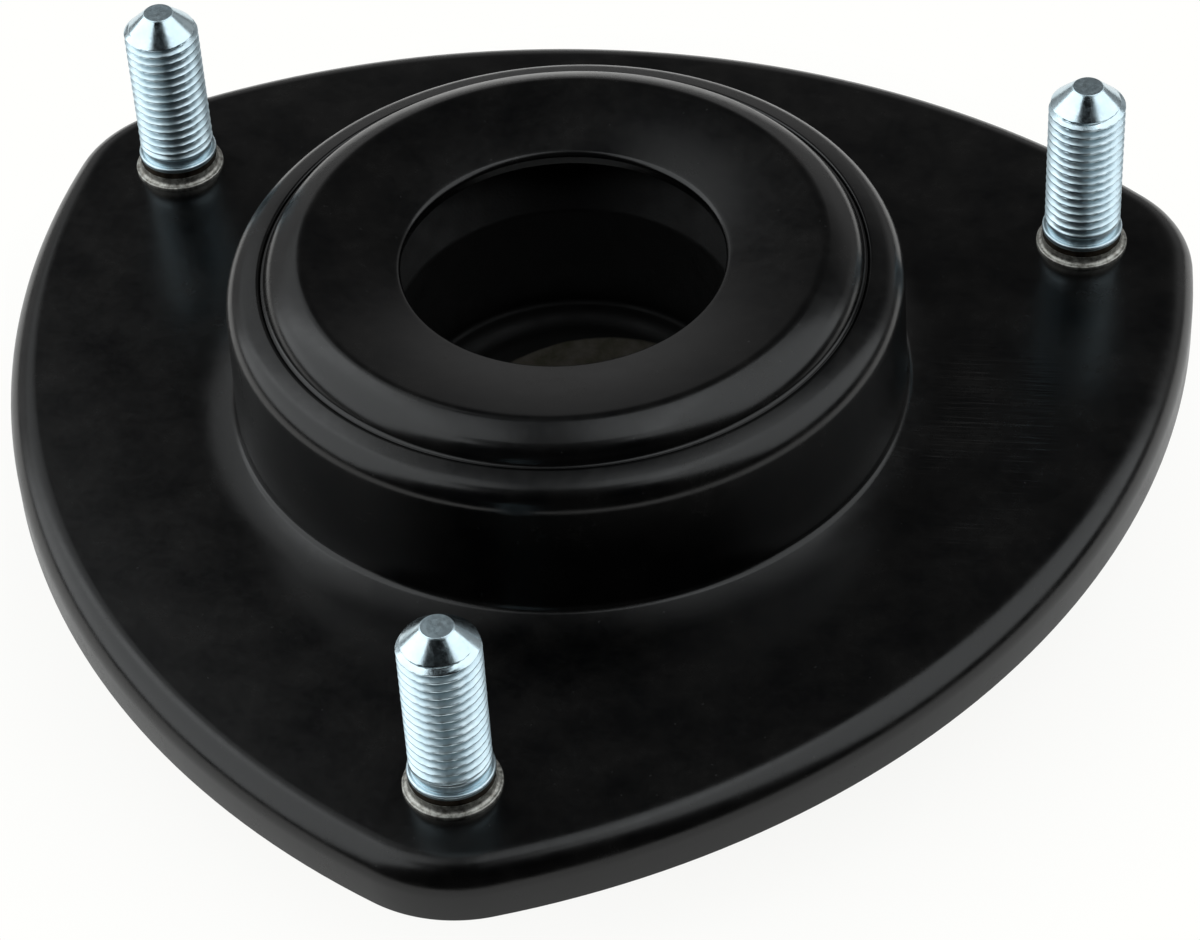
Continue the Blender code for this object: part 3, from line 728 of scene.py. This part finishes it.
def races():
    pitch_r = 0.02538
    radius = 0.00308
    land = 0.0012
    upper_bore_r, lower_bore_r = 0.0201, 0.0172
    skirt_inner_r, skirt_r = 0.0307163, 0.0323163
    curl_r, base_r, shoulder_r = 0.0278163, 0.0275163, 0.0289163
    top_z, base_z = -0.0088, -0.01986
    curl_top_z, curl_low_z, shoulder_z = -0.01738, -0.01868, -0.01708
    upper = [
        (upper_bore_r, top_z, 0.0),
        (upper_bore_r, BEARING_Z + land, 0.0),
        *reversed(groove_points(1.0, pitch_r, radius, land)),
        (skirt_inner_r, BEARING_Z + land, 0.0),
        (skirt_inner_r, curl_top_z, 0.0),
        (curl_r, curl_top_z, 0.0),
        (curl_r, curl_low_z, 0.0004),
        (skirt_r, curl_low_z, 0.0013),
        (skirt_r, top_z, 0.0004),
    ]
    lower = [
        (shoulder_r, BEARING_Z - land, 0.0),
        *groove_points(-1.0, pitch_r, radius, land),
        (lower_bore_r, BEARING_Z - land, 0.0003),
        (lower_bore_r, base_z, 0.0004),
        (base_r, base_z, 0.0004),
        (base_r, shoulder_z, 0.0),
        (shoulder_r, shoulder_z, 0.0),
    ]
    fixed = spun("skirted_race", rounded(upper), RING_STEPS, BRIGHT)
    stand_for(fixed, "upper_race", "mount")
    turning = spun("turning_race", rounded(lower), RING_STEPS, BRIGHT)
    stand_for(turning, "lower_race", "turning_race")


def finish_inner_nodes():
    """The pieces sealed inside keep their solids, with better materials."""
    for name, node in nodes.items():
        if node.hide_render:
            continue
        material = {"ball_cage": CAGE, "inner_seal": RUBBER, "outer_seal": RUBBER}.get(name, BRIGHT)
        for place in node.material_slots:
            place.material = material


mounting_plate()
dome_cap()
core()
studs()
outer_sleeve()
isolator()
races()
finish_inner_nodes()

# Camera at the photograph's viewpoint
scene = bpy.context.scene
CAMERA_BEARING = -76.3
camera_data = bpy.data.cameras.new("camera")
camera_data.lens = 122.904
camera_data.sensor_width = 36.0
camera_data.clip_start = 0.01
camera_data.clip_end = 50.0
camera = bpy.data.objects.new("camera", camera_data)
camera.location = (0.09254, -0.37827, 0.34645)
camera.rotation_euler = [math.radians(angle) for angle in (46.9556, 2.6591, 10.8408)]
scene.collection.objects.link(camera)
scene.camera = camera


def aim(turn, height):
    """Unit direction from the part, turned from the camera's own bearing and raised above the table."""
    around = on_circle(math.cos(math.radians(height)), CAMERA_BEARING + turn)
    return Vector((around.x, around.y, math.sin(math.radians(height))))


def softbox(name, turn, height, distance, width, depth, radiance, colour):
    """A plain rectangular lamp that faces the part."""
    data = bpy.data.lights.new(name, "AREA")
    data.shape = "RECTANGLE"
    data.size = width
    data.size_y = depth
    data.energy = radiance * math.pi * width * depth
    data.color = colour
    lamp = bpy.data.objects.new(name, data)
    lamp.location = aim(turn, height) * distance
    lamp.rotation_euler = (-lamp.location).to_track_quat("-Z", "Y").to_euler()
    lamp.visible_camera = False
    scene.collection.objects.link(lamp)


def floor():
    """White table. The eye sees it white away from the part, and metal and coat see most of it."""
    low = cad_box[0][2]
    builder = bmesh.new()
    middle = aim(180.0, 0.0) * 0.35
    place = Matrix.Translation((middle.x, middle.y, low))
    bmesh.ops.create_circle(builder, cap_ends=True, segments=96, radius=0.52, matrix=place)
    shader = Shader("table", Roughness=0.9)
    shader.surface.inputs["Base Color"].default_value = (0.86, 0.86, 0.85, 1.0)
    shader.surface.inputs["Specular IOR Level"].default_value = 0.0
    distance = shader.length(shader.vector("MULTIPLY", shader.place, (1.0, 1.0, 0.0)))
    rays = shader.node("LightPath")
    mirrored = shader.math("MAXIMUM", rays.outputs["Is Glossy Ray"], rays.outputs["Is Transmission Ray"])
    seen_share = shader.remap(distance, 0.03, 0.058, 0.0, 0.90)
    seen_share = shader.math("ADD", seen_share, shader.remap(distance, 0.058, 0.10, 0.0, 0.10))
    mirror_share = shader.remap(distance, 0.05, 0.09, 0.0, 0.60)
    mirror_share = shader.math("ADD", mirror_share, shader.remap(distance, 0.10, 0.14, 0.0, 0.35))
    seen = shader.math("MULTIPLY", rays.outputs["Is Camera Ray"], seen_share)
    share = shader.math("ADD", seen, shader.math("MULTIPLY", mirrored, mirror_share))
    glow = shader.node("Emission", {"Color": (1.0, 1.0, 0.985, 1.0), "Strength": 1.0}).outputs["Emission"]
    mixed = shader.node("MixShader", {0: share, 1: shader.surface.outputs["BSDF"], 2: glow})
    shader.tree.links.new(mixed.outputs[0], shader.output.inputs["Surface"])
    table = mesh_object("table", builder, [shader.material])


def world():
    """The eye sees a white room. The part is lit by a dim one, a little lighter low down behind it.

    Mirroring surfaces see the dim room too, as the photograph's black coat does.
    """
    made = bpy.data.worlds.new("studio")
    scene.world = made
    made.use_nodes = True
    tree = made.node_tree

    def add(kind, links, output=0, **settings):
        node = tree.nodes.new(kind)
        for label, value in settings.items():
            setattr(node, label, value)
        for label, value in links.items():
            if isinstance(value, bpy.types.NodeSocket):
                tree.links.new(value, node.inputs[label])
            else:
                node.inputs[label].default_value = value
        return node.outputs[output]

    def ramp(value, low, high, to_low, to_high):
        reach = {"Value": value, "From Min": low, "From Max": high, "To Min": to_low, "To Max": to_high}
        return add("ShaderNodeMapRange", reach, interpolation_type="SMOOTHSTEP")

    direction = tree.nodes.new("ShaderNodeTexCoord").outputs["Generated"]
    rays = tree.nodes.new("ShaderNodeLightPath")
    towards = {0: direction, 1: tuple(-aim(0.0, 0.0))}
    behind = add("ShaderNodeVectorMath", towards, "Value", operation="DOT_PRODUCT")
    split = tree.nodes.new("ShaderNodeSeparateXYZ")
    tree.links.new(direction, split.inputs[0])
    far = ramp(behind, -0.1, 0.8, 0.03, 0.44)
    high = ramp(split.outputs["Z"], 0.26, 0.58, 1.0, 0.12)
    low = ramp(split.outputs["Z"], -0.05, 0.28, 0.35, 1.0)
    level = add("ShaderNodeMath", {0: far, 1: high}, operation="MULTIPLY")
    level = add("ShaderNodeMath", {0: level, 1: low}, operation="MULTIPLY")
    seeing = {0: rays.outputs["Is Camera Ray"], 1: rays.outputs["Is Transmission Ray"]}
    seen = add("ShaderNodeMath", seeing, operation="MAXIMUM")
    level = add("ShaderNodeMath", {0: level, 1: seen}, operation="MAXIMUM")
    tree.nodes["Background"].inputs["Color"].default_value = (1.0, 1.0, 1.0, 1.0)
    tree.links.new(level, tree.nodes["Background"].inputs["Strength"])


floor()
world()

# Each lamp's turn, height, distance, width, depth, radiance and colour
BLUISH = (0.95, 0.985, 1.0)
softbox("left_softbox", -95.0, 36.0, 1.2, 1.50, 1.40, 1.60, BLUISH)
softbox("left_high_softbox", -92.0, 72.0, 1.2, 0.56, 0.32, 1.20, BLUISH)
softbox("left_back_softbox", -142.0, 44.0, 1.2, 0.55, 0.85, 0.64, BLUISH)
softbox("right_softbox", 86.0, 45.0, 1.2, 1.30, 1.45, 1.40, BLUISH)
softbox("right_high_softbox", 88.0, 80.5, 1.2, 0.60, 0.36, 1.25, BLUISH)
softbox("top_softbox", 180.0, 86.0, 1.3, 0.90, 0.60, 0.10, (0.88, 0.95, 1.0))
scene.view_settings.view_transform = "Standard"
